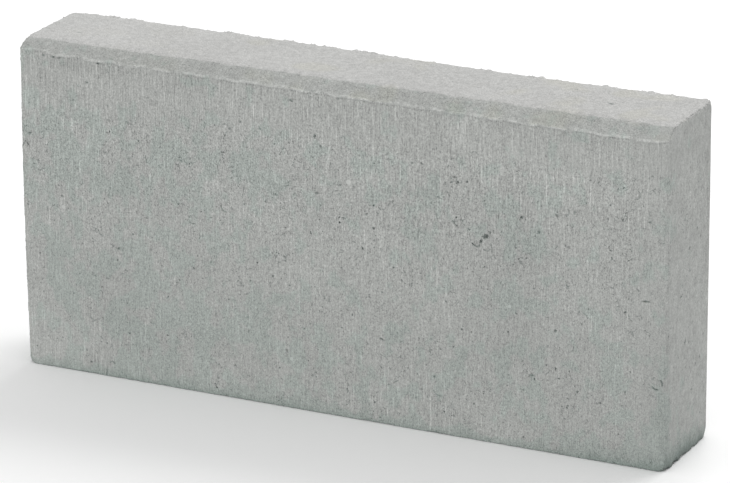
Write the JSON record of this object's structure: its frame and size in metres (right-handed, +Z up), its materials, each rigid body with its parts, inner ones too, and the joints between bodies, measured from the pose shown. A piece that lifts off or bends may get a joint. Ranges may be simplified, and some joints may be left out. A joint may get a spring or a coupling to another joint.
{
  "type": "concrete kerb stone",
  "caption": "Rectangular cast concrete kerb stone with a chamfer along the top of its road face, used to edge a road, path or lawn.",
  "frame": {"origin": "middle of the flat bed that the stone stands on", "axes": "+X along the kerb line, -Y out of the chamfered road face, +Z up to the top"},
  "size_m": [0.5, 0.08, 0.245],
  "materials": {
    "concrete": "matte dry-cast concrete with a fine sandy grain and small open pits"
  },
  "bodies": {
    "root": {"kerb_stone": "concrete"}
  },
  "joints": []
}
